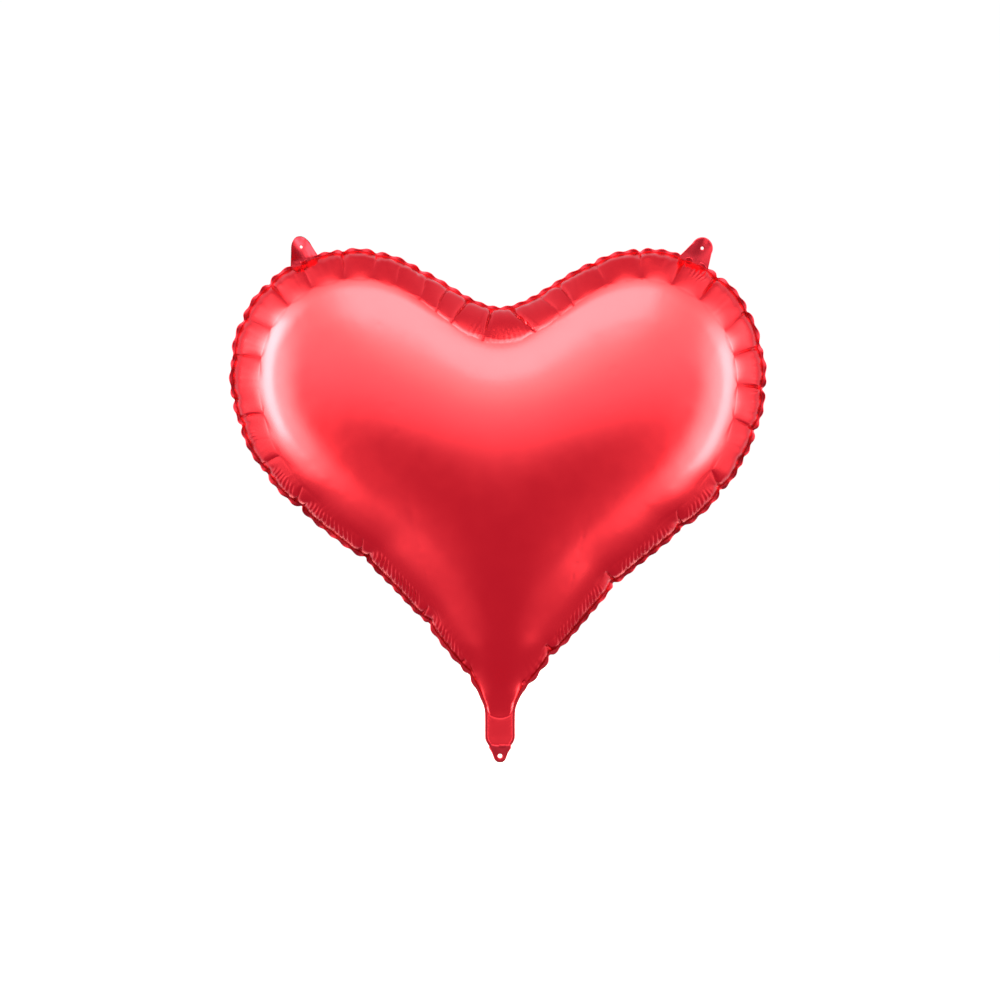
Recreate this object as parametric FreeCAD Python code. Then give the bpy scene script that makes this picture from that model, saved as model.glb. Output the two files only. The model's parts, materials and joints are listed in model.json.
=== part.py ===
"""Heart-shaped foil balloon: two welded films, a filling neck with its valve, and three tabs.

The balloon hangs in the XZ plane, +Z up, front film towards -Y. The origin is the centre of
the hole in the tail tab, where the ribbon is tied. Each piece goes to parts/NAME.step.
"""
import FreeCAD, Part
import math
import os

from FreeCAD import Vector

# ------------------------------------------------------------- driving sizes, mm and degrees
HEART_WIDTH = 748.0        # inflated, across the two lobes
HEART_HEIGHT = 653.0       # neck crease to the tops of the lobes
HEART_DEPTH = 300.0        # inflated, front to rear
CLEFT_DEPTH = 82.0         # tops of the lobes down to the dip between them
TIP_SLIMMING = 0.30        # how much faster the depth falls off towards the tip

FILM = 0.8                 # wall of each inflated film, thicker than the real film
WELD = 1.2                 # thickness of a welded margin or tab, both films together
HEART_MARGIN = 6.0         # width of the welded margin round the heart
NECK_MARGIN = 4.0          # width of the welded margin round the neck

NECK_WIDTH = 41.0
NECK_LENGTH = 46.5         # crease at the heart to crease at the tail tab
NECK_DEPTH = 14.0          # inflated, front to rear
NECK_SHOULDER = 8.5        # height of the slanted lower corners
NECK_FOOT = 31.0           # width of the neck where the tail tab begins
NECK_CORNER = 4.0          # how far its corners are rounded off

TAIL_RADIUS = 9.2          # round end of the tail tab, about its hole
TAIL_REACH = 10.5          # hole centre to the tail tab's crease
TAIL_HOLE = 6.0

TAB_RADIUS = 15.3          # round end of each hang tab, about its hole
TAB_REACH = 16.0           # hole centre to the crease at the heart's edge
TAB_HOLE = 4.4
TAB_ROOT = 29.0            # width of each hang tab along its crease
TAB_SPREAD = 548.0         # between the two hang tabs, where they leave the edge
LEFT_TAB_LEAN = -12.0      # degrees from upright
RIGHT_TAB_LEAN = 30.0

VALVE_ROOM = 2.5           # each side of the valve, between the welds of the neck
VALVE_RISE = 118.0         # above the crease, inside the heart
VALVE_DROP = 16.0          # below the crease, inside the neck
VALVE_FILM = 0.4
VALVE_WELD = 3.0           # width of the weld down each side of the valve
INK_ROOM = 2.0             # each side of the print that keeps the channel open
INK_HEIGHT = 40.0
INK_FILM = 0.15
INK_BELOW = 8.0            # how far the print reaches below the crease

MOUTH_WIDTH = 16.0         # filling slot in the rear of the neck
MOUTH_HEIGHT = 8.0
MOUTH_CENTRE = 19.5        # crease at the tail tab up to the slot

CREASE_ROOM = 0.15         # left at a crease when the moving piece is square to the other
SLIT_SIDE = 1.5            # room beside the valve in a slit

# ------------------------------------------------------------- places that follow
HALF_WELD = WELD / 2                             # a moving piece starts this far past its crease
CREASE_GAP = HALF_WELD * math.sqrt(2) + CREASE_ROOM   # and the edge it bends at stops this short
TAIL_CREASE = TAIL_REACH                         # heights above the origin
NECK_CREASE = TAIL_CREASE + NECK_LENGTH
HEART_BOTTOM = NECK_CREASE + CREASE_GAP
HEART_TOP = HEART_BOTTOM + HEART_HEIGHT
CLEFT = HEART_TOP - CLEFT_DEPTH
HEART_MIDDLE = HEART_BOTTOM + 0.6 * HEART_HEIGHT  # where the heart is deepest
VALVE_WIDTH = NECK_WIDTH - 2 * (NECK_MARGIN + VALVE_ROOM)
INK_WIDTH = VALVE_WIDTH - 2 * (VALVE_WELD + INK_ROOM)
SLIT_WIDTH = VALVE_WIDTH + 2 * SLIT_SIDE

SPAN_STEPS = 3             # points taken on each span of an outline
DOME_ANGLES = (0, 12, 24, 36, 48, 60, 72, 84)    # degrees from the margin to the middle


def save(name, shape):
    """Write one piece, after checking that it is sound."""
    if not shape.isValid() or shape.Volume <= 0:
        raise ValueError(name + " is not a sound solid")
    shape.exportStep("parts/" + name + ".step")
    print(name, "solids", len(shape.Solids), "volume", round(shape.Volume, 1))


def smooth_loop(points):
    """Closed smooth curve through (x, z) points, in the plane y = 0."""
    curve = Part.BSplineCurve()
    curve.interpolate([Vector(x, 0, z) for x, z in points], PeriodicFlag=True)
    return curve


def loop_wire(points):
    return Part.Wire(smooth_loop(points).toShape())


def mirrored(right_half):
    """Close a right half, given from the bottom up, into an anticlockwise outline."""
    left_half = [(-x, z) for x, z in reversed(right_half) if x > 0]
    return right_half + left_half


def heart_outline():
    """Edge of the inflated heart: a narrow foot as wide as the neck, flanks and two lobes."""
    half, foot = HEART_WIDTH / 2, NECK_WIDTH / 2

    def height(share):
        return HEART_BOTTOM + share * HEART_HEIGHT

    return mirrored([
        (0, HEART_BOTTOM), (foot - 9, HEART_BOTTOM + 0.5), (foot + 1, HEART_BOTTOM + 6),
        (foot + 8, HEART_BOTTOM + 20), (0.177 * half, height(0.117)),
        (0.479 * half, height(0.310)), (0.866 * half, height(0.501)),
        (half, height(0.708)), (0.858 * half, height(0.925)),
        (0.535 * half, HEART_TOP), (0.200 * half, (CLEFT + HEART_TOP) / 2 - 8), (0, CLEFT)])


def heart_edge(inset):
    """Points on the heart's outline moved inwards by inset, at right angles to it."""
    curve = smooth_loop(heart_outline())
    knots = curve.getKnots()
    points = []
    for low, high in zip(knots, knots[1:]):
        for step in range(SPAN_STEPS):
            at = low + (high - low) * step / SPAN_STEPS
            point, tangent = curve.value(at), curve.tangent(at)[0]
            points.append((point.x - inset * tangent.z, point.z + inset * tangent.x))
    return points


def neck_edge(inset):
    """Points on the neck's outline, a sleeve with slanted lower corners, moved inwards."""
    half, foot = NECK_WIDTH / 2 - inset, NECK_FOOT / 2 - inset / 2
    bottom, top = TAIL_CREASE + CREASE_GAP + inset, NECK_CREASE - HALF_WELD - inset
    shoulder = TAIL_CREASE + CREASE_GAP + NECK_SHOULDER + inset / 2
    round_off = NECK_CORNER
    return mirrored([
        (0, bottom), (foot - round_off, bottom), (foot + round_off / 2, bottom + round_off / 2),
        (half - round_off / 3, shoulder - round_off / 3), (half, shoulder + round_off),
        (half, (shoulder + top) / 2), (half, top - round_off),
        (half - round_off / 4, top - round_off / 4), (half - round_off, top), (0, top)])


def dome(edge, inset, half_depth, middle, slimming):
    """Solid between the plane y = -WELD / 2 and an inflated film in front of it."""
    rim = edge(inset)
    lowest = min(z for x, z in rim)
    sections = []
    for angle in DOME_ANGLES:
        rise = math.sin(math.radians(angle))
        spread = math.cos(math.radians(angle))
        section = []
        for x, z in rim:
            tipward = max(0, (middle - z) / (middle - lowest)) ** 2
            reach = spread * (1 - slimming * rise * tipward)
            section.append((x * reach, middle + (z - middle) * reach))
        wire = loop_wire(section)
        wire.translate(Vector(0, -HALF_WELD - half_depth * rise, 0))
        sections.append(wire)
    return Part.makeLoft(sections, True)


def film_dome(edge, inset, depth, middle, slimming=0):
    """Front film: a dome with the wall of the film, closed on the margin's front face."""
    half_depth = depth / 2 - HALF_WELD
    outer = dome(edge, inset, half_depth, middle, slimming)
    inner = dome(edge, inset + FILM, half_depth - FILM, middle, slimming)
    return outer.cut(inner)


def rear_of(shape):
    return shape.mirror(Vector(0, 0, 0), Vector(0, 1, 0))


def plate(wire):
    """Flat welded film inside a closed wire in the XZ plane."""
    face = Part.Face(wire)
    face.translate(Vector(0, -HALF_WELD, 0))
    return face.extrude(Vector(0, WELD, 0))


def strip(x0, x1, y0, y1, z0, z1):
    return Part.makeBox(x1 - x0, y1 - y0, z1 - z0, Vector(x0, y0, z0))


def margin(edge, width, slit_low, slit_high):
    """Welded margin inside an edge, open between two heights where the valve passes."""
    ring = plate(loop_wire(edge(0))).cut(plate(loop_wire(edge(width))))
    side = SLIT_WIDTH / 2
    return ring.cut(strip(-side, side, -WELD, WELD, slit_low, slit_high))


def tab(hole, radius, hole_size, crease, along, root_width):
    """Flat tab, round about its hole, with a straight root just past its crease."""
    outward = Vector(-along.z, 0, along.x)
    if outward.dot(hole - crease) < 0:
        outward = outward * -1
    root = crease + outward * HALF_WELD
    across = Vector(hole.z - root.z, 0, root.x - hole.x).normalize()
    if across.dot(along) < 0:
        across = across * -1
    half_root = along * (root_width / 2)
    web = plate(Part.makePolygon([root - half_root, root + half_root, hole + across * radius,
                                  hole - across * radius, root - half_root]))
    start = hole - Vector(0, HALF_WELD, 0)
    disc = Part.makeCylinder(radius, WELD, start, Vector(0, 1, 0))
    bore = Part.makeCylinder(hole_size / 2, WELD, start, Vector(0, 1, 0))
    return web.fuse(disc).removeSplitter().cut(bore)


# ------------------------------------------------------------- heart
def heart_pieces():
    front = film_dome(heart_edge, HEART_MARGIN / 2, HEART_DEPTH, HEART_MIDDLE, TIP_SLIMMING)
    save("front_panel", front)
    save("rear_panel", rear_of(front))
    save("edge_seam", margin(heart_edge, HEART_MARGIN,
                             HEART_BOTTOM - 1, HEART_BOTTOM + 2 * HEART_MARGIN))


# ------------------------------------------------------------- valve between the films
def valve_pieces():
    half = VALVE_WIDTH / 2
    low, high = NECK_CREASE - VALVE_DROP, NECK_CREASE + VALVE_RISE
    channel = HALF_WELD - VALVE_FILM             # half the room between the two films
    save("valve_front_film", strip(-half, half, -HALF_WELD, -channel, low, high))
    save("valve_rear_film", strip(-half, half, channel, HALF_WELD, low, high))

    welds = [strip(-half, -half + VALVE_WELD, -channel, channel, low, high),
             strip(half - VALVE_WELD, half, -channel, channel, low, high)]
    save("valve_side_welds", Part.makeCompound(welds))

    ink_low = NECK_CREASE - INK_BELOW
    save("valve_ink_print", strip(-INK_WIDTH / 2, INK_WIDTH / 2, -channel, -channel + INK_FILM,
                                  ink_low, ink_low + INK_HEIGHT))


# ------------------------------------------------------------- filling neck
def neck_pieces():
    middle = (TAIL_CREASE + NECK_CREASE) / 2
    front = film_dome(neck_edge, NECK_MARGIN / 2, NECK_DEPTH, middle)
    mouth = strip(-MOUTH_WIDTH / 2, MOUTH_WIDTH / 2, 0, NECK_DEPTH,
                  TAIL_CREASE + MOUTH_CENTRE - MOUTH_HEIGHT / 2,
                  TAIL_CREASE + MOUTH_CENTRE + MOUTH_HEIGHT / 2)
    save("neck_front", front)
    save("neck_rear", rear_of(front).cut(mouth))
    save("neck_seam", margin(neck_edge, NECK_MARGIN,
                             NECK_CREASE - 2 * NECK_MARGIN, NECK_CREASE + 1))


# ------------------------------------------------------------- tabs
def tail_tab():
    save("tail_tab", tab(Vector(0, 0, 0), TAIL_RADIUS, TAIL_HOLE,
                         Vector(0, 0, TAIL_CREASE), Vector(1, 0, 0), NECK_FOOT - 2))


def hang_tab(name, side, lean):
    """Tab on one lobe: its root lies along the heart's edge, a crease outside it."""
    curve = smooth_loop(heart_outline())
    line = Part.Edge(Part.LineSegment(Vector(side * TAB_SPREAD / 2, 0, CLEFT),
                                      Vector(side * TAB_SPREAD / 2, 0, HEART_TOP + 1)))
    edge_point = line.distToShape(curve.toShape())[1][0][0]
    tangent = curve.tangent(curve.parameter(edge_point))[0]
    outward = Vector(tangent.z, 0, -tangent.x)
    crease = edge_point + outward * CREASE_GAP
    reach = Vector(math.sin(math.radians(lean)), 0, math.cos(math.radians(lean)))
    hole = crease + reach * TAB_REACH
    print(name, "hole", hole, "crease", crease, "along", tangent)
    save(name, tab(hole, TAB_RADIUS, TAB_HOLE, crease, tangent, TAB_ROOT))


os.makedirs("parts", exist_ok=True)
heart_pieces()
valve_pieces()
neck_pieces()
tail_tab()
hang_tab("left_tab", -1, LEFT_TAB_LEAN)
hang_tab("right_tab", 1, RIGHT_TAB_LEAN)
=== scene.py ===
"""How the heart-shaped foil balloon looks: inflated foil, its puckered weld, neck and tabs.

The two films are cut flat, welded along one seam and inflated here by cloth simulation, from a
domed start. The sharp creases and fine gathers, smaller than its cells, are pressed in afterwards.
Lengths are metres, and MM turns millimetres into them.
"""
import json
import math

import bmesh
import bpy
import numpy as np
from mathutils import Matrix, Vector
from mathutils.bvhtree import BVHTree
from mathutils.geometry import delaunay_2d_cdt
from mathutils.kdtree import KDTree


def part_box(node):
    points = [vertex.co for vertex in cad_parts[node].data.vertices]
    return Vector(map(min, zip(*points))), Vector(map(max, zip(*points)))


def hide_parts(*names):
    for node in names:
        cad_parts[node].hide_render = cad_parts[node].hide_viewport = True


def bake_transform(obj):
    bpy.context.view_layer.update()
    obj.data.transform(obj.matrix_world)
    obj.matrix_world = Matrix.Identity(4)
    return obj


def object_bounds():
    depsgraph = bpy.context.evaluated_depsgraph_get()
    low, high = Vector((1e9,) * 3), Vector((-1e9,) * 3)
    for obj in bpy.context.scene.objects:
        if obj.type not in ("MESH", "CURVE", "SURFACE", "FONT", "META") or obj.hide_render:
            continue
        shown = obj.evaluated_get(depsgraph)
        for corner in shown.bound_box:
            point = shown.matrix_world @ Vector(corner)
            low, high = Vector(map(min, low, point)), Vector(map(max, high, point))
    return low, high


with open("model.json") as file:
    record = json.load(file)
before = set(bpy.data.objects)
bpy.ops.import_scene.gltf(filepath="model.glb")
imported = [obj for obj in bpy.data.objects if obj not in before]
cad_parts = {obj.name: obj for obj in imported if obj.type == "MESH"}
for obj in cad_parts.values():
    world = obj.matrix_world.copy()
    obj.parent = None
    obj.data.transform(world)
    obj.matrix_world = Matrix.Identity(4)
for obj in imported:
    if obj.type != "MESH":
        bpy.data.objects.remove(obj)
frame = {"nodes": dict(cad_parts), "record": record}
cad_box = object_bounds()

MM = 0.001


def shown(name, data):
    """New object in the scene for a mesh, lamp or camera."""
    made = bpy.data.objects.new(name, data)
    bpy.context.scene.collection.objects.link(made)
    return made


def evaluated(piece):
    """A piece with its modifiers applied."""
    return piece.evaluated_get(bpy.context.evaluated_depsgraph_get())


# ---------------------------------------------------------------- plane curves, (x, z) arrays
def lengths_along(line):
    """Distance from the start to each point of an open line."""
    return np.r_[0, np.cumsum(np.linalg.norm(np.diff(line, axis=0), axis=1))]


def at_lengths(line, wanted):
    """Points at the given distances along an open line."""
    along = lengths_along(line)
    return np.column_stack([np.interp(wanted, along, column) for column in line.T])


def smooth_line(points, steps=24):
    """Smooth open curve through points whose first one lies on the mirror plane x = 0."""
    points = np.array(points, float)
    padded = np.vstack([points[1] * (-1, 1), points, 2 * points[-1] - points[-2]])
    pieces = []
    for p0, p1, p2, p3 in zip(padded, padded[1:], padded[2:], padded[3:]):
        t = np.linspace(0, 1, steps, endpoint=False)[:, None]
        pieces.append(p1 + 0.5 * t * (p2 - p0 + t * (2 * p0 - 5 * p1 + 4 * p2 - p3
                                                     + t * (3 * p1 - p0 - 3 * p2 + p3))))
    return np.vstack(pieces + [points[-1:]])


def outward_of(line):
    """Unit vectors to the left of travel: outwards on a clockwise line."""
    ahead = np.gradient(line, axis=0)
    ahead /= np.linalg.norm(ahead, axis=1)[:, None]
    return np.column_stack([-ahead[:, 1], ahead[:, 0]])


def inside(points, loop):
    """Which points lie inside a closed loop."""
    hit = np.zeros(len(points), bool)
    for (xa, za), (xb, zb) in zip(np.roll(loop, 1, axis=0), loop):
        crosses = (za > points[:, 1]) != (zb > points[:, 1])
        hit ^= crosses & (points[:, 0] < (xb - xa) * (points[:, 1] - za) / (zb - za + 1e-12) + xa)
    return hit


def distance_to(points, loop):
    """Distance from each point to a closed loop."""
    nearest = np.full(len(points), np.inf)
    for a, b in zip(loop, np.roll(loop, -1, axis=0)):
        span = b - a
        t = np.clip((points - a) @ span / (span @ span), 0, 1)
        nearest = np.minimum(nearest, np.linalg.norm(points - a - t[:, None] * span, axis=1))
    return nearest


# ---------------------------------------------------------------- the seam, flat and inflated
HEART_MARGIN = 6 * MM         # weld outside the seam round the heart
NECK_MARGIN = 4 * MM

neck_low, neck_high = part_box("neck_seam")
NECK_HALF = neck_high[0] - NECK_MARGIN
NECK_BOTTOM = neck_low[2] + NECK_MARGIN
FOOT_HALF, FOOT_HEIGHT = 19.5 * MM, 73 * MM     # where the flanks turn into the neck

# The flat cut of each film, right half from the dip to the foot, mm.
FLAT_CUT = [(0, 741), (77, 756), (154, 777), (238, 780), (322, 752), (386, 695), (428, 622),
            (443, 539), (427, 444), (389, 368), (277, 245), (149, 133), (24, 33)]
CUT_SCALE = 0.99              # how generously the film is cut for its inflated outline
NECK_FULLNESS = 1.10          # flat width of the neck for its inflated width

# Notches in the inflated edge, where the weld folds: mm along the seam from the dip, depth mm.
RIGHT_NOTCHES = [(150, 2.0), (214, 3.0), (278, 3.5), (330, 4.0), (395, 2.5), (448, 4.0),
                 (506, 4.5), (565, 4.0), (612, 2.5), (661, 5.0), (738, 5.5), (862, 6.5),
                 (994, 6.0), (1055, 3.0)]
LEFT_NOTCHES = [(128, 2.0), (190, 2.5), (240, 3.5), (300, 3.0), (352, 4.0), (410, 3.0),
                (466, 4.0), (520, 3.0), (556, 4.5), (630, 4.5), (700, 5.5), (816, 6.5),
                (940, 6.0), (1030, 3.0)]
# The filled balloon isn't quite even: mm along the seam from the dip, mm outwards.
RIGHT_SWAY = [(0, 0), (590, 0), (690, 5), (800, 7), (950, 7.5), (1040, 5), (1076, 0)]
LEFT_SWAY = [(0, 0), (270, 0), (340, 5), (430, 7), (520, 5), (600, 1.5), (700, 0), (1076, 0)]
NOTCH_REACH = 9 * MM          # how far along the edge a notch is felt
NOTCH_GATHER = 1.6            # extra film taken up in a notch


def heart_edge(side):
    """Outer edge of the welded margin on one side, from the dip to the foot."""
    ring = frame["nodes"]["edge_seam"].data
    tree = BVHTree.FromPolygons([v.co for v in ring.vertices],
                                [p.vertices for p in ring.polygons])
    middle = Vector((0, 0, (cad_box[0][2] + cad_box[1][2]) / 2))
    points = []
    for angle in np.linspace(math.pi / 2, -math.pi / 2, 721):
        ray = Vector((side * math.cos(angle), 0, math.sin(angle)))
        hit = tree.ray_cast(middle + ray, -ray, 1.0)[0]
        if hit is not None and hit.z > FOOT_HEIGHT - 20 * MM:
            points.append((abs(hit.x), hit.z))
    return np.array(points)


def half_seam(side, notches, sway):
    """The inflated seam's right or left half: (x, z) with x positive, and where film gathers."""
    edge = heart_edge(side)
    heart = edge - outward_of(edge) * HEART_MARGIN
    heart[0, 0] = 0
    heart = heart[heart[:, 1] > FOOT_HEIGHT + 6 * MM]
    heart = np.vstack([heart, (FOOT_HALF, FOOT_HEIGHT)])
    along = lengths_along(heart)
    heart = at_lengths(heart, np.arange(0, along[-1], 1 * MM))
    along = lengths_along(heart)
    push = np.interp(along, *(np.array(sway).T * MM))
    gather = np.ones(len(heart))
    for place, depth in notches:
        near = np.exp(-np.abs(along - place * MM) / NOTCH_REACH)
        push -= depth * MM * near
        gather += NOTCH_GATHER * np.exp(-((along - place * MM) / NOTCH_REACH) ** 2)
    heart = heart + outward_of(heart) * push[:, None]
    heart[0, 0] = 0
    return heart, gather


def neck_half():
    """The neck's seam, right half, from the foot to the middle of its bottom."""
    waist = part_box("edge_seam")[0][2] - 2 * MM
    return np.array([
        (FOOT_HALF, FOOT_HEIGHT), (NECK_HALF + 0.5 * MM, FOOT_HEIGHT - 8 * MM),
        (NECK_HALF, waist), (NECK_HALF, (waist + NECK_BOTTOM) / 2),
        (NECK_HALF, NECK_BOTTOM + 9 * MM), (NECK_HALF - 4.5 * MM, NECK_BOTTOM + 1 * MM),
        (NECK_HALF - 8 * MM, NECK_BOTTOM), (0, NECK_BOTTOM)])


CELL = 5.0 * MM               # film cells beside the seam, in the neck and in the middle
NECK_CELL = 3.2 * MM
MIDDLE_CELL = 13 * MM
FINE_BAND = 78 * MM           # how far in from the seam the cells stay fine
BETWEEN_BAND = 50 * MM        # width of the ring of middling cells inside that
NECK_CELLS_TO = 75 * MM       # the neck's cells reach this far above its bottom


def matched_halves(side, notches, sway):
    """Flat and inflated seam points of one side, paired, with their distance from the dip."""
    heart, gather = half_seam(side, notches, sway)
    flat = smooth_line(np.array(FLAT_CUT) * MM * CUT_SCALE)
    flat_length = lengths_along(flat)[-1]
    wanted = np.linspace(0, flat_length, int(round(flat_length / CELL)) + 1)
    taken_up = np.r_[0, np.cumsum((gather[1:] + gather[:-1]) / 2)]
    at_flat = taken_up / taken_up[-1] * flat_length
    along = lengths_along(heart)
    heart_points = at_lengths(heart, np.interp(wanted, at_flat, along))
    flat_points = at_lengths(flat, wanted)

    neck = neck_half()
    steps = int(round(lengths_along(neck)[-1] / NECK_CELL))
    neck_points = at_lengths(neck, np.linspace(0, lengths_along(neck)[-1], steps + 1))[1:]
    foot = flat_points[-1]
    shift = foot - (FOOT_HALF, FOOT_HEIGHT)
    neck_flat = neck_points * (NECK_FULLNESS, 1) + (0, shift[1])
    inflated = np.vstack([heart_points, neck_points])
    return np.vstack([flat_points, neck_flat]), inflated, lengths_along(inflated)


def seam_loops():
    """Closed flat and inflated seams, clockwise from the dip, with signed distance from it."""
    flat_r, full_r, along_r = matched_halves(1, RIGHT_NOTCHES, RIGHT_SWAY)
    flat_l, full_l, along_l = matched_halves(-1, LEFT_NOTCHES, LEFT_SWAY)
    turn = (-1, 1)
    flat = np.vstack([flat_r, flat_l[-2:0:-1] * turn])
    full = np.vstack([full_r, full_l[-2:0:-1] * turn])
    along = np.r_[along_r, -along_l[-2:0:-1]]
    return flat, full, along


# ---------------------------------------------------------------- the films
def hex_grid(pitch, low, high):
    """Points of a triangular grid over a rectangle."""
    rows = np.arange(low[1], high[1], pitch * math.sqrt(3) / 2)
    columns = np.arange(low[0], high[0], pitch)
    return np.array([(x + (pitch / 2 if k % 2 else 0), z)
                     for k, z in enumerate(rows) for x in columns])


def ring_edges(first, count):
    """Edges that close count points, from the first one on, into a ring."""
    return [(first + i, first + (i + 1) % count) for i in range(count)]


def triangulated(points, edges, nearness):
    """Triangles between points inside closed edges."""
    corners, _, faces, _, _, _ = delaunay_2d_cdt([Vector(p) for p in points], edges, [], 1,
                                                 nearness)
    return np.array([tuple(c) for c in corners]), faces


def cut_film(loop):
    """Triangles over the flat cut: its loop's points come first."""
    low, high = loop.min(axis=0), loop.max(axis=0)
    neck_top = low[1] + NECK_CELLS_TO
    taken = [loop]
    coarse_from = FINE_BAND + BETWEEN_BAND
    rings = [(NECK_CELL, 0, math.inf), (CELL, 0, FINE_BAND),
             ((CELL + MIDDLE_CELL) / 2, FINE_BAND, coarse_from), (MIDDLE_CELL, coarse_from, math.inf)]
    for pitch, nearest, furthest in rings:
        points = hex_grid(pitch, low, high)
        in_neck = points[:, 1] < neck_top
        points = points[in_neck if pitch == NECK_CELL else ~in_neck]
        points = points[inside(points, loop)]
        away = distance_to(points, loop)
        clear = pitch * (0.62 if nearest == 0 else 0.5)
        taken.append(points[(away > nearest + clear) & (away < furthest)])
    corners, faces = triangulated(np.vstack(taken), ring_edges(0, len(loop)), 1e-7)
    faces = np.array(faces)
    a, b, c = (corners[faces[:, k]] for k in range(3))
    backwards = np.cross(b - a, c - a) < 0
    faces[backwards] = faces[backwards][:, ::-1]
    return corners, faces


# Middles of the heart, flat and inflated: points are placed by direction and distance from them.
FLAT_MIDDLE = np.array((0, 0.45)) * CUT_SCALE
FULL_MIDDLE = np.array((0, 0.42))


def spread_in(points, flat, full):
    """Places for the flat cut's points inside the inflated seam, and their share of the way out."""
    rim = flat - FLAT_MIDDLE
    rim_angle = np.unwrap(np.arctan2(rim[:, 1], rim[:, 0]))
    order = np.argsort(-rim_angle)
    turns = -rim_angle[order]
    offset = points - FLAT_MIDDLE
    angle = -np.arctan2(offset[:, 1], offset[:, 0])
    angle = turns[0] + (angle - turns[0]) % (2 * math.pi)
    closed_turns = np.r_[turns, turns[0] + 2 * math.pi]
    place = np.interp(angle, closed_turns, np.arange(len(closed_turns)))
    ring_flat = np.vstack([rim[order], rim[order][:1]])
    ring_full = np.vstack([full[order], full[order][:1]]) - FULL_MIDDLE
    steps = np.arange(len(closed_turns))
    reach = np.hypot(*[np.interp(place, steps, ring_flat[:, k]) for k in (0, 1)])
    share = np.linalg.norm(offset, axis=1) / reach
    edge = np.column_stack([np.interp(place, steps, ring_full[:, k]) for k in (0, 1)])
    return FULL_MIDDLE + edge * share[:, None], share


def triples(source, what):
    """One value of three numbers for each point of a mesh."""
    values = np.empty(len(source) * 3)
    source.foreach_get(what, values)
    return values.reshape(-1, 3)


FRAMES = 24                   # simulation frames that the films are given to fill out
PRESSURE = 12.0
# Each film starts this far from the middle plane at its deepest, and ends a few millimetres off.
START_DEPTH = 0.148
TIP_FROM, TIP_RISE = 0.02, 0.25    # the start shape deepens from the tip up over this height
TIP_CURVE, TIP_LEAST = 0.7, 0.03
GAS_FROM, GAS_RISE = 0.05, 0.03    # the gas reaches full pressure over this height
GAS_LEAST = 0.25              # and in the neck, which the valve keeps nearly empty, it has this share


def inflate(flat, full, wave):
    """Weld two films along the seam and fill them with gas for FRAMES frames.

    Returns the flat corners, the faces of one film, and the inflated front and rear corners.
    """
    corners, faces = cut_film(flat)
    n = len(flat)
    spread, share = spread_in(corners, flat, full)
    spread[:n] = full
    share[:n] = 1
    bulge = START_DEPTH * np.sqrt(np.clip(1 - share ** 2, 0, 1)) * np.clip(
        (spread[:, 1] - TIP_FROM) / TIP_RISE, TIP_LEAST, 1) ** TIP_CURVE
    front = np.column_stack([spread[:, 0], -bulge, spread[:, 1]])
    rear = front * (1, -1, 1)
    front[:n, 1] = wave
    count = len(corners)
    rear_of = np.r_[np.arange(n), np.arange(count, count + count - n)]

    mesh = bpy.data.meshes.new("films")
    places = np.vstack([front, rear[n:]])
    both = np.vstack([faces, rear_of[faces][:, ::-1]])
    mesh.from_pydata(places.tolist(), [], both.tolist())
    films = shown("films", mesh)
    films.shape_key_add(name="inflating")
    laid_flat = films.shape_key_add(name="flat")
    laid = np.column_stack([corners[:, 0], np.zeros(count), corners[:, 1]])
    laid_flat.data.foreach_set("co", np.vstack([laid, laid[n:]]).ravel())

    weld = films.vertex_groups.new(name="weld")
    weld.add(list(range(n)), 1.0, "REPLACE")
    gas = films.vertex_groups.new(name="gas")
    level = np.clip((places[:, 2] - GAS_FROM) / GAS_RISE, GAS_LEAST, 1)
    for value in np.unique(np.round(level, 2)):
        chosen = np.flatnonzero(np.round(level, 2) == value)
        gas.add(chosen.tolist(), float(value), "REPLACE")

    cloth = films.modifiers.new("foil", "CLOTH")
    film = cloth.settings
    film.rest_shape_key = laid_flat
    film.vertex_group_mass = weld.name
    film.vertex_group_pressure = gas.name
    film.quality = 6
    film.mass = 0.05
    film.tension_stiffness, film.compression_stiffness = 20, 0.5
    film.shear_stiffness, film.bending_stiffness = 2, 0.005
    film.tension_damping = film.compression_damping = film.shear_damping = 5
    film.bending_damping = 0.5
    film.air_damping = 2
    film.use_pressure = True
    film.uniform_pressure_force = PRESSURE
    film.effector_weights.gravity = 0
    scene = bpy.context.scene
    cloth.point_cache.frame_start, cloth.point_cache.frame_end = 1, FRAMES
    for number in range(1, FRAMES + 1):
        scene.frame_set(number)
    result = triples(evaluated(films).data.vertices, "co")
    scene.frame_set(1)
    bpy.data.objects.remove(films)
    bpy.data.meshes.remove(mesh)
    return corners, faces, result[:count], result[rear_of[np.arange(count)]]


WAVE_END, WAVE_FADE = 0.9, 0.15    # the seam's waves die out over this length before the neck


def edge_wave(along):
    """How far the seam stands in front of (-) or behind the middle plane."""
    wave = 1.6 * np.sin(along / (31 * MM)) + 1.3 * np.sin(along / (17 * MM) + 1.7)
    return MM * wave * np.clip(1 - (np.abs(along) - WAVE_END) / WAVE_FADE, 0, 1)


flat_seam, full_seam, seam_along = seam_loops()


# ---------------------------------------------------------------- from simulated film to fine mesh
def fine_mesh(name, points, faces, carried=None):
    """Subdivided copy of a film's faces; carried values at its points are spread with them."""
    mesh = bpy.data.meshes.new(name)
    mesh.from_pydata(points.tolist(), [], faces.tolist())
    if carried is not None:
        values = mesh.attributes.new("carried", "FLOAT_VECTOR", "POINT")
        values.data.foreach_set("vector", carried.astype(float).ravel())
    piece = shown(name, mesh)
    smooth = piece.modifiers.new("smooth", "SUBSURF")
    smooth.levels = smooth.render_levels = 1
    made = bpy.data.meshes.new_from_object(evaluated(piece))
    bpy.data.objects.remove(piece)
    bpy.data.meshes.remove(mesh)
    return made


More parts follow.
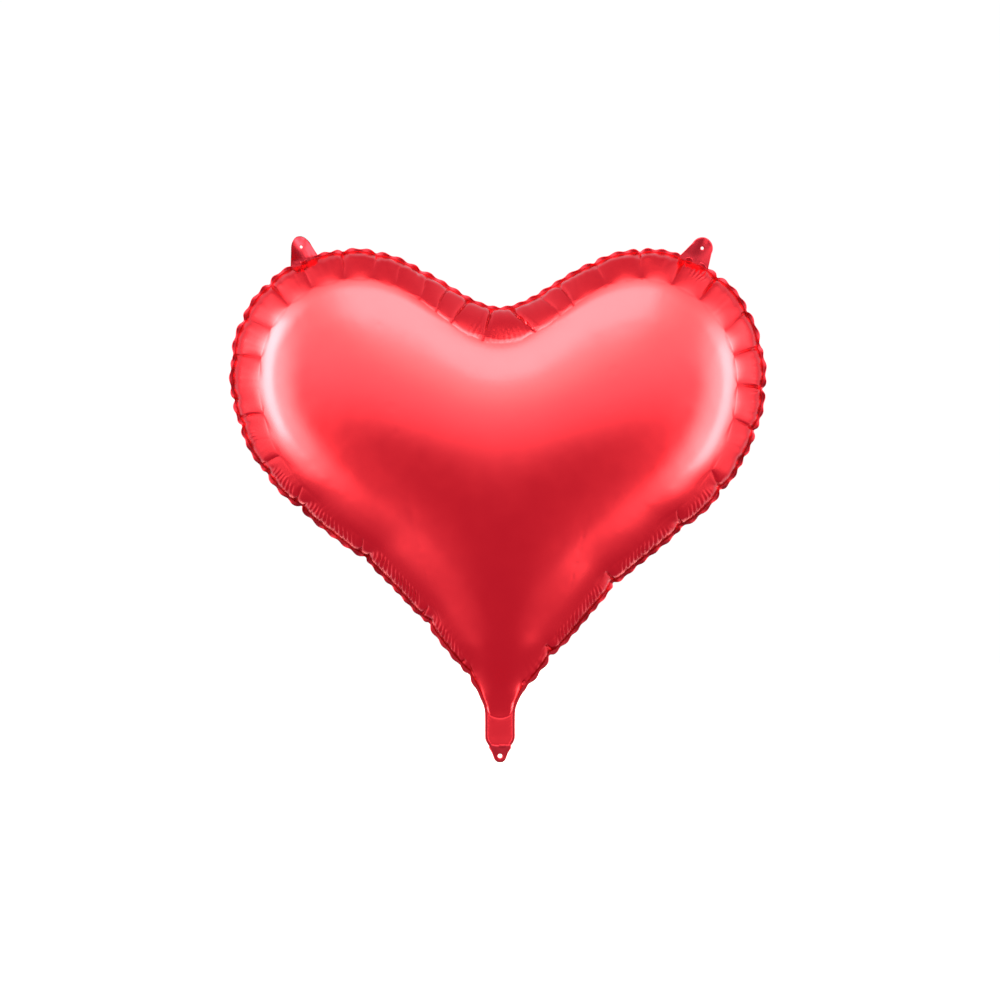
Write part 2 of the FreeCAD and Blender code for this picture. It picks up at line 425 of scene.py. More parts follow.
def split_edges(mesh, chosen):
    """Halve the edges whose both ends are chosen, so that fine detail has points to stand on."""
    fine = bmesh.new()
    fine.from_mesh(mesh)
    edges = [e for e in fine.edges if chosen[e.verts[0].index] and chosen[e.verts[1].index]]
    bmesh.ops.subdivide_edges(fine, edges=edges, cuts=1, use_grid_fill=True)
    fine.to_mesh(mesh)
    fine.free()


CALM_FROM, CALM_TO = 10 * MM, 26 * MM   # further in than this the pressure pulls folds out
CALM_ROUNDS = 60
FACE_FROM, FACE_TO = 55 * MM, 80 * MM    # and further in than this not even a dent is left
FACE_ROUNDS = 40


def pull_smooth(points, pairs, share, rounds):
    """Even points out between their neighbours, each by its share."""
    near, far = np.r_[pairs[:, 0], pairs[:, 1]], np.r_[pairs[:, 1], pairs[:, 0]]
    count = np.bincount(near, minlength=len(points))[:, None]
    points = points.copy()
    for _ in range(rounds):
        mean = np.column_stack([np.bincount(near, weights=points[far, k], minlength=len(points))
                                for k in range(3)]) / count
        points += 0.6 * share[:, None] * (mean - points)
    return points


def share_inwards(away, start, end):
    """0 up to start, rising to 1 at end."""
    return np.clip((away - start) / (end - start), 0, 1)


def face_pairs(faces):
    """The edges of triangles, each once."""
    pairs = np.vstack([faces[:, (0, 1)], faces[:, (1, 2)], faces[:, (2, 0)]])
    return np.unique(np.sort(pairs, axis=1), axis=0)


def mesh_pairs(mesh):
    """The edges of a mesh."""
    pairs = np.empty(len(mesh.edges) * 2, int)
    mesh.edges.foreach_get("vertices", pairs)
    return pairs.reshape(-1, 2)


def nearest_in(points, line):
    """For each (x, z) point, the number of the nearest one on a line."""
    tree = KDTree(len(line))
    for i, (x, z) in enumerate(line):
        tree.insert((x, z, 0), i)
    tree.balance()
    return np.array([tree.find((x, z, 0))[1] for x, z in points])


def seam_place(points):
    """Each flat point's distance from the seam, and the place along the seam nearest to it."""
    flat, along = flat_seam, seam_along
    nearest = nearest_in(points, flat)
    best = np.full(len(points), np.inf)
    place = np.zeros(len(points))
    for first in ((nearest - 1) % len(flat), nearest):
        second = (first + 1) % len(flat)
        span = flat[second] - flat[first]
        offset = points - flat[first]
        t = np.clip((offset * span).sum(axis=1) / (span ** 2).sum(axis=1), 0, 1)
        gap = np.linalg.norm(offset - t[:, None] * span, axis=1)
        step = along[second] - along[first]
        step[np.abs(step) > 50 * MM] = 0      # where the two sides meet
        closer = gap < best
        best[closer] = gap[closer]
        place[closer] = (along[first] + t * step)[closer]
    return best, place


# Creases pressed into the front film where the weld folds: mm along the seam from the dip (left
# side negative), depth in mm, and lean in degrees towards the foot as the crease runs inwards.
FRONT_CREASES = [
    (-1030, 1.6, 0), (-940, 3.4, 8), (-816, 3.8, -16), (-700, 3.4, -13), (-630, 2.4, 12),
    (-556, 2.8, 2), (-466, 2.6, 0), (-410, 1.2, 0), (-352, 2.4, 4), (-300, 1.4, 4), (-240, 2.0, 4),
    (-190, 1.2, 4), (-150, 0.9, 6), (-112, 1.4, 8), (-78, 3.0, 11), (-46, 4.2, 8), (-12, 4.8, 2),
    (16, 5.0, 16), (58, 1.6, 16), (88, 2.8, 14), (150, 1.0, 6), (214, 1.8, 4), (278, 2.8, -3),
    (330, 3.2, 2), (395, 1.6, 6), (448, 3.0, 0), (506, 3.0, -4), (565, 2.6, -6), (661, 3.2, -12),
    (738, 3.4, -10), (862, 3.8, 6), (994, 3.4, 18), (1055, 1.2, 0)]
# How far in the puffed band beside the seam reaches, mm, at distances from the dip.
BAND_REACH = [(0, 74), (50, 68), (110, 56), (200, 54), (330, 56), (500, 54), (620, 48), (760, 40),
              (900, 34), (1000, 24), (1050, 10)]
BAND_FLAT = 2.2 * MM          # how far the band's middle is pulled in from a round section
PAD_CROWN = 2.4 * MM          # how far the film puffs between two creases
CREASE_WIDTH = 1.5 * MM       # sharpness of a pressed crease
CREASE_SHOULDER = 9 * MM      # how far the film rises beside it
SHOULDER_RISE = 0.35          # height of that rise, in crease depths
PAD_EDGE = 0.16               # how much of its reach a pad loses at its creases
PAD_WIDE = 70 * MM            # pads narrower than this are lower
# Height of the pads, and length of the creases in reaches of the band, at metres from the dip.
PAD_HEIGHT = [(0.5, 1), (0.7, 0.45)]
CREASE_LENGTH = [(0.1, 1.06), (0.2, 0.92), (0.55, 0.85), (0.7, 0.72)]


def crease_depth(away, place, creases):
    """Creases that run in from the seam, with the film puffed up in pads between them."""
    starts = np.array([c[0] for c in creases]) * MM
    depths = np.array([c[1] for c in creases]) * MM
    leans = np.tan(np.radians([c[2] for c in creases])) * np.sign(starts)
    reach = np.interp(np.abs(place), *(np.array(BAND_REACH).T * MM))
    root = place - np.interp(place, starts, leans) * away
    pad = np.clip(np.searchsorted(starts, root) - 1, 0, len(starts) - 2)
    share = np.clip((root - starts[pad]) / (starts[pad + 1] - starts[pad]), 0, 1)
    crown = np.sin(math.pi * share) ** 0.6
    inwards = np.clip(away / (reach * (1 - PAD_EDGE + PAD_EDGE * crown)), 0, 1)
    width = np.clip((starts[pad + 1] - starts[pad]) / PAD_WIDE, 0.3, 1)
    flatter = np.interp(np.abs(place), *np.array(PAD_HEIGHT).T)
    lift = 4 * inwards * (1 - inwards) * flatter * (PAD_CROWN * width * crown - BAND_FLAT)
    length = reach * np.interp(np.abs(place), *np.array(CREASE_LENGTH).T)
    run_out = np.clip(1 - away / length, 0, 1) ** 0.5
    for start, depth in zip(starts, depths):
        near = np.abs(root - start)
        shoulder = near / CREASE_SHOULDER
        lift -= depth * run_out * np.exp(-near / CREASE_WIDTH)
        rise = shoulder * np.exp(1 - shoulder) * (shoulder < 4)
        lift += SHOULDER_RISE * depth * run_out * rise
    return lift


GATHER_SCALE = 1.7            # the heights in this table are multiplied by this
# Fine gathers: from and to along the seam, how far in they start and end, pitch and height, all
# in mm, and lean in degrees
GATHERS = [(-930, -830, 2, 30, 7.4, 0.75, 30), (-808, -712, 2, 26, 7.2, 0.6, 30),
           (-694, -640, 2, 24, 7.0, 0.5, 28), (-1024, -955, 2, 24, 7.6, 0.5, 30),
           (672, 730, 2, 24, 7.2, 0.55, 28), (752, 850, 2, 26, 7.4, 0.55, 30),
           (880, 984, 2, 26, 7.4, 0.6, 30), (-610, -560, 2, 20, 6.8, 0.35, 10),
           (460, 560, 2, 18, 6.6, 0.3, 6), (285, 325, 3, 24, 6.4, 0.4, 10),
           (-40, 40, 46, 74, 5.2, 0.22, 0)]


def gather_height(away, place):
    """Fine parallel ridges where the welded edge takes up the film's spare length."""
    lift = np.zeros(len(away))
    for low, high, near, far, pitch, height, lean in GATHERS:
        low, high, near, far = low * MM, high * MM, near * MM, far * MM
        side = 1 if low + high >= 0 else -1
        across = place + side * math.tan(math.radians(lean)) * away
        ends = np.clip((place - low) / (14 * MM), 0, 1) * np.clip((high - place) / (10 * MM), 0, 1)
        band = np.clip((away - near) / (5 * MM), 0, 1) * np.clip((far - away) / (14 * MM), 0, 1)
        uneven = 1 + 0.5 * np.sin(place / (19 * MM)) * np.sin(place / (7.3 * MM) + 1)
        phase = 2 * math.pi * across / (pitch * MM) + 1.1 * np.sin(place / (13 * MM))
        lift += GATHER_SCALE * height * MM * ends * band * uneven * np.sin(phase)
    return lift


RIPPLE_HEIGHT = 0.30 * MM
RIPPLE_STEP = 2.3 * MM        # along the seam for each radian of a ripple


def slack_ripples(away, place, seed):
    """Low irregular puckers square to the seam, all the way round."""
    wander = np.sin(place / (23 * MM) + seed) + np.sin(place / (9.7 * MM) + 2 * seed)
    phase = place / RIPPLE_STEP + 1.7 * wander
    band = np.clip(away / (3 * MM), 0, 1) * np.exp(-away / (13 * MM))
    return RIPPLE_HEIGHT * band * np.sin(phase) * (1 + 0.6 * np.sin(place / (41 * MM) + seed))


NECK_FLATNESS = 0.05          # the neck is nearly empty of gas
NECK_TO, NECK_RISE = 0.052, 0.11   # flat up to this height, and full this far above it
NECK_FOLD = 53 * MM           # height of the fold across the neck, at its middle
FOLD_DEPTH, FOLD_WIDTH = 0.3 * MM, 1.3 * MM
FOLD_CURVE = 20               # the fold rises to both sides by this times the distance squared
FINE_TO = 50 * MM             # the band beside the seam that gets the finest mesh
FAN_HALF, FAN_FINE_TO = 0.13, 80 * MM    # under the dip, where creases fan out, it is wider
HEART_END = 1.06              # along the seam from the dip, the heart ends and the neck begins
CLEAR_SEAM = 4 * MM           # creases grow from nothing over this distance from the seam


def film_piece(name, points, faces, corners, creases, gathers, seed):
    """One inflated film as a piece, with its pressed creases and gathers."""
    away, place = seam_place(corners)
    points = pull_smooth(points, face_pairs(faces), share_inwards(away, CALM_FROM, CALM_TO),
                         CALM_ROUNDS)
    risen = np.clip((points[:, 2] - NECK_TO) / NECK_RISE, 0, 1)
    points[:, 1] *= NECK_FLATNESS + (1 - NECK_FLATNESS) * risen ** 2 * (3 - 2 * risen)
    mesh = fine_mesh(name, points, faces, np.column_stack([corners, np.zeros(len(corners))]))
    away, place = seam_place(triples(mesh.attributes["carried"].data, "vector")[:, :2])
    split_edges(mesh, away < np.where(np.abs(place) < FAN_HALF, FAN_FINE_TO, FINE_TO))
    away, place = seam_place(triples(mesh.attributes["carried"].data, "vector")[:, :2])
    mesh.attributes.remove(mesh.attributes["carried"])
    lift = crease_depth(away, place, creases) + slack_ripples(away, place, seed)
    if gathers:
        lift += gather_height(away, place)
    clear = np.clip(away / CLEAR_SEAM, 0, 1)
    lift *= clear
    lift[np.abs(place) > HEART_END] = 0
    points = pull_smooth(triples(mesh.vertices, "co"), mesh_pairs(mesh),
                         share_inwards(away, FACE_FROM, FACE_TO), FACE_ROUNDS)
    mesh.vertices.foreach_set("co", points.ravel())
    mesh.update()
    # The nearly empty neck folds over a little where the heart's pressure ends.
    fold = np.abs(points[:, 2] - NECK_FOLD - FOLD_CURVE * points[:, 0] ** 2)
    lift -= FOLD_DEPTH * np.exp(-fold / FOLD_WIDTH) * clear
    normals = triples(mesh.vertex_normals, "vector")
    mesh.vertices.foreach_set("co", (points + normals * lift[:, None]).ravel())
    mesh.update()
    mesh.shade_smooth()
    return shown(name, mesh)


# ---------------------------------------------------------------- welded margin
RUFFLE_PITCH = 21 * MM
RUFFLE_STAND = 1.8 * MM       # how far the margin's edge stands out to each side
RUFFLE_END, RUFFLE_FADE = 1.0, 0.08      # along the seam from the dip
LEAST_MARGIN, SCALLOP = 1.8, 4.2         # narrowest width and what the scallops add, mm
WELD_FILM = 0.25 * MM         # both films welded together, drawn thicker than real


def margin_width(along):
    """Width of the welded margin: ruffled round the heart, plain round the neck."""
    scallop = np.abs(np.sin(math.pi * along / RUFFLE_PITCH + 0.8 * np.sin(along / (47 * MM))))
    heart = (LEAST_MARGIN + SCALLOP * scallop) * MM
    neck_share = np.clip((np.abs(along) - HEART_END) / (20 * MM), 0, 1)
    return heart * (1 - neck_share) + NECK_MARGIN * neck_share


def margin_piece(name, seam, along):
    """Welded strip outside the seam, whose spare length stands up in a small ruffle."""
    ahead = np.roll(seam, -1, axis=0) - np.roll(seam, 1, axis=0)
    out = np.column_stack([-ahead[:, 2], np.zeros(len(seam)), ahead[:, 0]])
    out /= np.linalg.norm(out, axis=1)[:, None]
    for _ in range(3):
        out = out + np.roll(out, 1, axis=0) + np.roll(out, -1, axis=0)
        out /= np.linalg.norm(out, axis=1)[:, None]
    ruffle = np.sin(2 * math.pi * along / RUFFLE_PITCH + 1.2 * np.sin(along / (37 * MM)))
    ruffle *= np.clip((RUFFLE_END - np.abs(along)) / RUFFLE_FADE, 0, 1)
    width = margin_width(along)
    rows = []
    for share in (0, 0.3, 0.65, 1):
        stand = RUFFLE_STAND * ruffle * share ** 1.3
        rows.append(seam + out * (width * share)[:, None] + np.outer(stand, (0, 1, 0)))
    n = len(seam)
    points = np.vstack(rows)
    faces = []
    for row in range(len(rows) - 1):
        for i in range(n):
            j = (i + 1) % n
            faces.append((row * n + i, row * n + j, (row + 1) * n + j, (row + 1) * n + i))
    mesh = fine_mesh(name, points, np.array(faces))
    mesh.shade_smooth()
    return thicken(shown(name, mesh), WELD_FILM)


def thicken(piece, thickness):
    """Give a sheet its thickness, half to each side."""
    wall = piece.modifiers.new("wall", "SOLIDIFY")
    wall.thickness, wall.offset = thickness, 0
    made = bpy.data.meshes.new_from_object(evaluated(piece))
    old = piece.data
    piece.modifiers.clear()
    piece.data = made
    bpy.data.meshes.remove(old)
    return piece


# ---------------------------------------------------------------- tabs
def tab_sheet(name, outline, hole, hole_radius, shape, cell=1.6 * MM):
    """Flat tab cut to an outline with a round hole, then bent by shape(points)."""
    turns = np.linspace(0, 2 * math.pi, 33)[:-1]
    rim = np.array(hole) + hole_radius * np.column_stack([np.cos(turns), np.sin(turns)])
    grid = hex_grid(cell, outline.min(axis=0), outline.max(axis=0))
    grid = grid[inside(grid, outline)]
    grid = grid[distance_to(grid, outline) > cell * 0.6]
    grid = grid[np.linalg.norm(grid - hole, axis=1) > hole_radius + cell * 0.6]
    edges = ring_edges(0, len(outline)) + ring_edges(len(outline), len(rim))
    corners, faces = triangulated(np.vstack([outline, rim, grid]), edges, 1e-8)
    centres = np.array([corners[list(f)].mean(axis=0) for f in faces])
    kept = np.linalg.norm(centres - hole, axis=1) > hole_radius * 0.98
    faces = np.array([f for f, keep in zip(faces, kept) if keep])
    mesh = bpy.data.meshes.new(name)
    mesh.from_pydata(shape(corners).tolist(), [], faces.tolist())
    mesh.shade_smooth()
    return thicken(shown(name, mesh), WELD_FILM)


def mount(name):
    """Centre and radius of a mount's bore."""
    found = next(m for m in frame["record"]["mounts"] if m["name"] == name)
    return np.array(found["pos_m"]), found["dims"]["r_mm"] * MM


def joint(name):
    """A point on a joint's axis, and the axis."""
    found = next(j for j in frame["record"]["behaviour"]["joints"] if j["name"] == name)
    return np.array(found["pos_m"]), np.array(found["axis"])


TAB_TUCK = 11 * MM            # how far a hang tab's root reaches in between the films
TAB_FLARE = 1.5               # half width of that root, in radii of the round end


def standing(points, seam):
    """How far the seam nearest to each (x, z) point stands out of the middle plane."""
    return seam[nearest_in(points, seam[:, (0, 2)]), 1]


def hang_tab_piece(name, hole_name, joint_name, twist, seam):
    """Hang tab: rooted between the films, round about its hole, turned a little by its curl."""
    hole3, hole_radius = mount(hole_name)
    crease3, axis3 = joint(joint_name)
    hole, crease = hole3[[0, 2]], crease3[[0, 2]]
    along = axis3[[0, 2]] / np.linalg.norm(axis3[[0, 2]])
    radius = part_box(name)[1][2] - hole[1]
    reach = hole - crease
    up = reach / np.linalg.norm(reach)
    across = np.array((up[1], -up[0]))
    root = crease - up * TAB_TUCK
    turns = np.linspace(-math.pi / 2, math.pi / 2, 25)
    arc = hole + radius * (np.outer(np.sin(turns), across) + np.outer(np.cos(turns), up))
    outline = np.vstack([arc, root + along * radius * TAB_FLARE, root - along * radius * TAB_FLARE])

    def bent(points):
        offset = points - hole
        x, z = offset @ across, offset @ up
        risen = np.clip((z + np.linalg.norm(reach)) / np.linalg.norm(reach), 0, 1.6)
        angle = math.radians(twist) * risen
        y = x * np.sin(angle) + 0.7 * MM * np.sin(x / (4.1 * MM)) * risen
        y += standing(points, seam) * np.clip(1 - risen, 0, 1)
        flat = hole + np.outer(x * np.cos(angle), across) + np.outer(z, up)
        return np.column_stack([flat[:, 0], y, flat[:, 1]])

    return tab_sheet(name + "_foil", outline, hole, hole_radius, bent)


def tail_tab_piece():
    """Tail tab: the neck's weld narrows to a round end about the ribbon hole."""
    hole3, hole_radius = mount("tail_tab_hole")
    low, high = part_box("tail_tab")
    radius = -low[2]
    half_root = high[0]
    turns = np.linspace(-0.05 * math.pi, -0.95 * math.pi, 25)
    arc = radius * np.column_stack([np.cos(turns), np.sin(turns)])
    left = [(-0.8 * half_root, 5 * MM), (-half_root - 1 * MM, high[2] + 1 * MM),
            (-half_root - 1 * MM, NECK_BOTTOM + 1 * MM)]
    right = [(-x, z) for x, z in reversed(left)]
    outline = np.vstack([arc, left, right])

    def bent(points):
        y = 0.5 * MM * np.sin(points[:, 0] / (3.2 * MM) + 0.6) * np.clip(
            (points[:, 1] + radius) / (20 * MM), 0, 1)
        return np.column_stack([points[:, 0], y, points[:, 1]])

    return tab_sheet("tail_tab_foil", outline, hole3[[0, 2]], hole_radius, bent)


# ---------------------------------------------------------------- materials
def linear(code, alpha=1.0):
    """An sRGB hex colour as linear light."""
    channels = [int(code[k:k + 2], 16) / 255 for k in (0, 2, 4)]
    return [c / 12.92 if c <= 0.04045 else ((c + 0.055) / 1.055) ** 2.4 for c in channels] + [alpha]


def node(tree, kind, settings=None, links=None):
    """Add a node, set its properties or sockets, and link its inputs."""
    made = tree.nodes.new(kind)
    for key, value in (settings or {}).items():
        if isinstance(key, int) or key in made.inputs:
            made.inputs[key].default_value = value
        else:
            setattr(made, key, value)
    for key, source in (links or {}).items():
        tree.links.new(source, made.inputs[key])
    return made


def new_material(name):
    """A material with its node tree and its shader."""
    material = bpy.data.materials.new(name)
    material.use_nodes = True
    tree = material.node_tree
    shader = tree.nodes["Principled BSDF"]
    return material, tree, shader


def drifting_colour(tree, place, colours, size, detail):
    """Colour that drifts between two sRGB ones over patches of a size."""
    drift = node(tree, "ShaderNodeTexNoise", {"Scale": 1 / size, "Detail": detail},
                 {"Vector": place})
    mixed = node(tree, "ShaderNodeMix",
                 {"data_type": "RGBA", 6: linear(colours[0]), 7: linear(colours[1])},
                 {0: drift.outputs["Fac"]})
    return mixed.outputs[2]


def metallised_film(name, colours, edge, roughness, crinkle):
    """Polyester film, vacuum-metallised and then gravure-printed with a clear red lacquer.

    The metal under the lacquer gives deep tinted reflections, which pale a little where the
    lacquer is seen at a grazing angle, and handling leaves a low crinkle that breaks them up.
    """
    material, tree, shader = new_material(name)
    place = node(tree, "ShaderNodeTexCoord").outputs["Object"]
    # Lacquer thickness drifts over about 80 mm, which shifts the red a little.
    red = drifting_colour(tree, place, colours, 80 * MM, 2.0)
    # Handling crinkle, 14 mm apart and finer, and less than 0.2 mm high.
    fold = node(tree, "ShaderNodeTexNoise",
                {"Scale": 1 / (14 * MM), "Detail": 3.0, "Roughness": 0.45}, {"Vector": place})
    bump = node(tree, "ShaderNodeBump", {"Strength": crinkle, "Distance": 0.6 * MM},
                {"Height": fold.outputs["Fac"]})
    # Orange-peel of the lacquer makes some places, 25 mm apart, a little duller.
    dull = node(tree, "ShaderNodeTexNoise", {"Scale": 1 / (25 * MM), "Detail": 4.0},
                {"Vector": place})
    rough = node(tree, "ShaderNodeMapRange",
                 {"To Min": roughness - 0.03, "To Max": roughness + 0.05},
                 {"Value": dull.outputs["Fac"]})
    tree.links.new(red, shader.inputs["Base Color"])
    tree.links.new(rough.outputs["Result"], shader.inputs["Roughness"])
    tree.links.new(bump.outputs["Normal"], shader.inputs["Normal"])
    shader.inputs["Metallic"].default_value = 1.0
    shader.inputs["Specular Tint"].default_value = linear(edge)
    return material


foil = metallised_film("metallised_red_film", ("EC383F", "F03C43"), "DCC0C2", 0.22, 0.08)
# The same film where two layers are heat-sealed together between hot bars, which dulls and crimps it.
# Its red and its edge tint are also made darker here as painted shade, standing in for the shade in
# the puckered margin; the tabs share it.
weld_foil_painted_shade = metallised_film("heat_sealed_red_film", ("9A222C", "A82832"), "A06068", 0.34, 0.30)


def valve_film_material():
    """Clear low-density polyethylene, blown film: slightly milky, waxy gloss."""
    material, tree, shader = new_material("clear_polyethylene_film")
    place = node(tree, "ShaderNodeTexCoord").outputs["Object"]
    milk = drifting_colour(tree, place, ("D9DDDF", "E9ECED"), 9 * MM, 3.0)
    tree.links.new(milk, shader.inputs["Base Color"])
    shader.inputs["Roughness"].default_value = 0.28
    shader.inputs["Alpha"].default_value = 0.55
    return material


def ink_material():
    """Flat heat-resistant ink, screen-printed: grainy and slightly chalky."""
    material, tree, shader = new_material("screen_printed_ink")
    place = node(tree, "ShaderNodeTexCoord").outputs["Object"]
    grain = drifting_colour(tree, place, ("7E8388", "9AA0A5"), 0.8 * MM, 2.0)
    tree.links.new(grain, shader.inputs["Base Color"])
    shader.inputs["Roughness"].default_value = 0.8
    return material


def dress(piece, material):
    """Give a piece its one material and slot."""
    piece.data.materials.clear()
    piece.data.materials.append(material)


# ---------------------------------------------------------------- build the balloon
corners, film_faces, front_points, rear_points = inflate(flat_seam, full_seam,
                                                         edge_wave(seam_along))
seam_points = front_points[:len(flat_seam)]
# The rear film's creases are the front's, mirrored left to right and moved 7 mm along.
REAR_CREASES = [(7 - start, depth, lean) for start, depth, lean in reversed(FRONT_CREASES)]
front_foil = film_piece("front_foil", front_points, film_faces, corners, FRONT_CREASES, True, 0.4)
rear_foil = film_piece("rear_foil", rear_points, film_faces[:, ::-1], corners, REAR_CREASES, False,
                       2.3)
welded_margin = margin_piece("welded_margin", seam_points, seam_along)
tail_foil = tail_tab_piece()
left_foil = hang_tab_piece("left_tab", "left_tab_hole", "left_tab_flex", 24, seam_points)
right_foil = hang_tab_piece("right_tab", "right_tab_hole", "right_tab_flex", 6, seam_points)

for piece in (front_foil, rear_foil):
    dress(piece, foil)
# The margin and the tabs get the weld film, whose darker red is painted shade.
for piece in (welded_margin, tail_foil, left_foil, right_foil):
    dress(piece, weld_foil_painted_shade)
clear_film, ink = valve_film_material(), ink_material()

neck_crease = joint("neck_flex")[0]
NECK_BEND, TAIL_BEND, TAB_BEND = 7 * MM, 2.5 * MM, 2 * MM    # half the length of film that bends
for piece in (front_foil, rear_foil, welded_margin):
    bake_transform(piece)
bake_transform(tail_foil)
for piece, joint_name, body in ((left_foil, "left_tab_flex", "left_hang_tab"),
                                (right_foil, "right_tab_flex", "right_hang_tab")):
    crease, axis = joint(joint_name)
    out = np.cross(axis, (0, 1, 0))
    out *= np.sign(out[2])
    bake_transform(piece)
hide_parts("front_panel", "neck_front")
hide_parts("rear_panel", "neck_rear")
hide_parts("edge_seam", "neck_seam")
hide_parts("tail_tab")
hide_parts("left_tab")
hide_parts("right_tab")


def valve_piece(node_name, material):
    """A flat film of the valve as its own piece, cut across about the neck's crease and flattened
    like the neck.
    """
    shape = bmesh.new()
    shape.from_mesh(frame["nodes"][node_name].data)
    for height in np.linspace(neck_crease[2] - NECK_BEND, neck_crease[2] + NECK_BEND, 9):
        bmesh.ops.bisect_plane(shape, geom=shape.verts[:] + shape.edges[:] + shape.faces[:],
                               plane_co=(0, 0, height), plane_no=(0, 0, 1))
    for point in shape.verts:
        point.co.y *= NECK_FLATNESS
    mesh = bpy.data.meshes.new(node_name + "_foil")
    shape.to_mesh(mesh)
    shape.free()
    piece = shown(node_name + "_foil", mesh)
    dress(piece, material)
    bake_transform(piece)
    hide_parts(node_name)


for node_name in ("valve_front_film", "valve_rear_film", "valve_side_welds"):
    valve_piece(node_name, clear_film)
valve_piece("valve_ink_print", ink)


# ---------------------------------------------------------------- stage, light and camera
LAMP_COLOUR = (1, 1, 0.88)


def softbox(name, place, target, size, energy):
    """Rectangular studio softbox."""
    lamp = bpy.data.lights.new(name, "AREA")
    lamp.shape = "RECTANGLE"
    lamp.size, lamp.size_y = size
    lamp.energy = energy
    lamp.color = LAMP_COLOUR
    box = shown(name, lamp)
    box.location = place
    box.rotation_euler = (Vector(target) - Vector(place)).to_track_quat("-Z", "Y").to_euler()


VIEW_WIDTH = 1.397            # metres seen across the picture at the balloon's seam
VIEW_DISTANCE = 4.2
AIM = (0, 0, 0.3575)
camera_data = bpy.data.cameras.new("camera")
camera_data.lens = camera_data.sensor_width * VIEW_DISTANCE / VIEW_WIDTH
camera = shown("camera", camera_data)
camera.location = (AIM[0], AIM[1] - VIEW_DISTANCE, AIM[2])
camera.rotation_euler = (math.pi / 2, 0, 0)
bpy.context.scene.camera = camera

FLOOR = -0.75                 # height of the floor


def pale_floor():
    """Pale floor, well below and behind the balloon.

    Matt emulsion paint, rolled on: no gloss, and faint patches about 0.7 m wide.
    """
    mesh = bpy.data.meshes.new("floor")
    mesh.from_pydata([(-1.3, 2.2, FLOOR), (1.3, 2.2, FLOOR), (3.8, 16, FLOOR), (-3.8, 16, FLOOR)],
                     [], [(0, 1, 2, 3)])
    sheet = shown("floor", mesh)
    paint, tree, shader = new_material("matt_white_floor")
    place = node(tree, "ShaderNodeTexCoord").outputs["Object"]
    patchy = drifting_colour(tree, place, ("C6C6C6", "CCCCCC"), 1 / 1.5, 2.0)
    tree.links.new(patchy, shader.inputs["Base Color"])
    shader.inputs["Roughness"].default_value = 0.9
    mesh.materials.append(paint)


# Soft light from all round. Each glow is a product of factors times a strength, and each factor
# rises smoothly between two cosines from an axis; level axes compare compass directions only.
LEFT_SIDE, RIGHT_SIDE = (-0.966, -0.259, 0), (0.966, -0.259, 0)
UP_AXIS, BACK_AXIS, OVERHEAD = (0, 0, 1), (0, 1, 0), (0, -0.53, 0.85)
ROOM_LOW = 0.55
WALL_BEHIND = [(BACK_AXIS, -0.1, 0.4), (UP_AXIS, -0.60, -0.36), (UP_AXIS, 1.12, 0.45)]
CEILING_IN_FRONT = [(BACK_AXIS, 0.25, -0.15), (UP_AXIS, -0.2, 0.5)]
LEFT_GLOW = [(LEFT_SIDE, 0.90, 1.0), (UP_AXIS, -0.70, -0.25), (UP_AXIS, 0.85, 0.45)]
RIGHT_GLOW = [(RIGHT_SIDE, 0.90, 1.0), (UP_AXIS, -0.74, -0.32), (UP_AXIS, 0.70, 0.25)]
LOW_LEFT = [(LEFT_SIDE, 0.6, 1.0), (UP_AXIS, -1.0, -0.6)]
LOW_RIGHT = [(RIGHT_SIDE, 0.6, 1.0), (UP_AXIS, -1.0, -0.6)]
ABOVE = [(OVERHEAD, 0.76, 0.98)]
ROOM_GLOWS = [(WALL_BEHIND, 0.47), (CEILING_IN_FRONT, 2.3), (LEFT_GLOW, 10.0), (RIGHT_GLOW, 10.0),
              (LOW_LEFT, 0.25), (LOW_RIGHT, 0.22), (ABOVE, 2.6)]
# Light's colour at three levels of brightness: reddish where it is dim, then white, then warm.
ROOM_TINTS = [(0.55, (1, 0.38, 0.66, 1)), (0.95, (1, 1, 1.1, 1)), (3.5, (1, 1, 0.86, 1))]
PLAIN_WHITE = 1.02


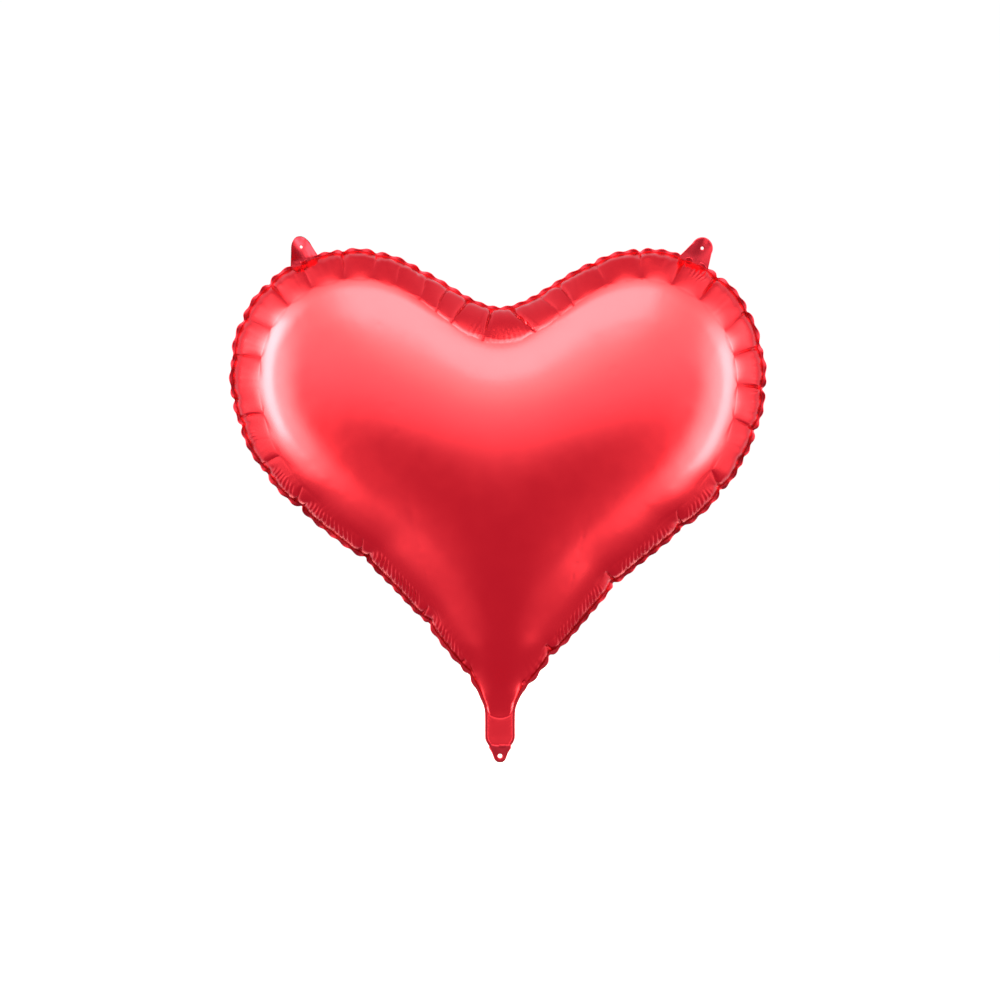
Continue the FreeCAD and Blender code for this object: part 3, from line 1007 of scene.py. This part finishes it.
def room():
    """Light from the room: dim low in front, bright overhead and at both sides."""
    world = bpy.data.worlds.new("room")
    bpy.context.scene.world = world
    world.use_nodes = True
    tree = world.node_tree
    towards = node(tree, "ShaderNodeTexCoord").outputs["Generated"]

    def combined(operation, first, second):
        """Two numbers added or multiplied; the first may be plain."""
        plain = isinstance(first, float)
        made = node(tree, "ShaderNodeMath", {"operation": operation} | ({0: first} if plain else {}),
                    {1: second} if plain else {0: first, 1: second})
        return made.outputs["Value"]

    level = node(tree, "ShaderNodeVectorMath", {"operation": "MULTIPLY", 1: (1, 1, 0)},
                 {0: towards})
    level = node(tree, "ShaderNodeVectorMath", {"operation": "NORMALIZE"},
                 {0: level.outputs["Vector"]})
    total = ROOM_LOW
    for factors, strength in ROOM_GLOWS:
        glow = strength
        for axis, low, high in factors:
            cosine = node(tree, "ShaderNodeVectorMath", {"operation": "DOT_PRODUCT", 1: axis},
                          {0: level.outputs["Vector"] if axis[2] == 0 else towards})
            rise = node(tree, "ShaderNodeMapRange", {"interpolation_type": "SMOOTHSTEP",
                                                     "From Min": low, "From Max": high},
                        {"Value": cosine.outputs["Value"]})
            glow = combined("MULTIPLY", glow, rise.outputs["Result"])
        total = combined("ADD", total, glow)
    background = tree.nodes["Background"]
    tree.links.new(total, background.inputs["Strength"])
    # The dim part stands for light thrown back by the film itself, so it is reddish.
    brightest = ROOM_TINTS[-1][0]
    share = node(tree, "ShaderNodeMath", {"operation": "DIVIDE", 1: brightest}, {0: total})
    tint = node(tree, "ShaderNodeValToRGB", links={"Fac": share.outputs["Value"]})
    tint.color_ramp.elements.new(0.5)
    for stop, (level_at, colour) in zip(tint.color_ramp.elements, ROOM_TINTS):
        stop.position = level_at / brightest
        stop.color = colour
    tree.links.new(tint.outputs["Color"], background.inputs["Color"])
    # Seen directly, the studio is one plain white.
    plain = node(tree, "ShaderNodeBackground", {"Color": (1, 1, 1, 1), "Strength": PLAIN_WHITE})
    seen = node(tree, "ShaderNodeLightPath").outputs["Is Camera Ray"]
    both = node(tree, "ShaderNodeMixShader", links={
        0: seen, 1: background.outputs["Background"], 2: plain.outputs["Background"]})
    tree.links.new(both.outputs["Shader"], tree.nodes["World Output"].inputs["Surface"])


def around(azimuth, elevation, distance):
    """Place round the balloon's middle: azimuth 0 in front, 90 on its right, degrees."""
    a, e = math.radians(azimuth), math.radians(elevation)
    return (distance * math.sin(a) * math.cos(e), -distance * math.cos(a) * math.cos(e),
            AIM[2] + distance * math.sin(e))


pale_floor()
room()
softbox("left_strip", around(-76, 10, 2.0), AIM, (0.5, 1.9), 24)
softbox("right_strip", around(76, -1, 2.0), AIM, (0.5, 1.9), 15)
softbox("overhead", around(0, 58, 2.2), AIM, (1.9, 1.3), 30)
bpy.context.scene.view_settings.view_transform = "Standard"
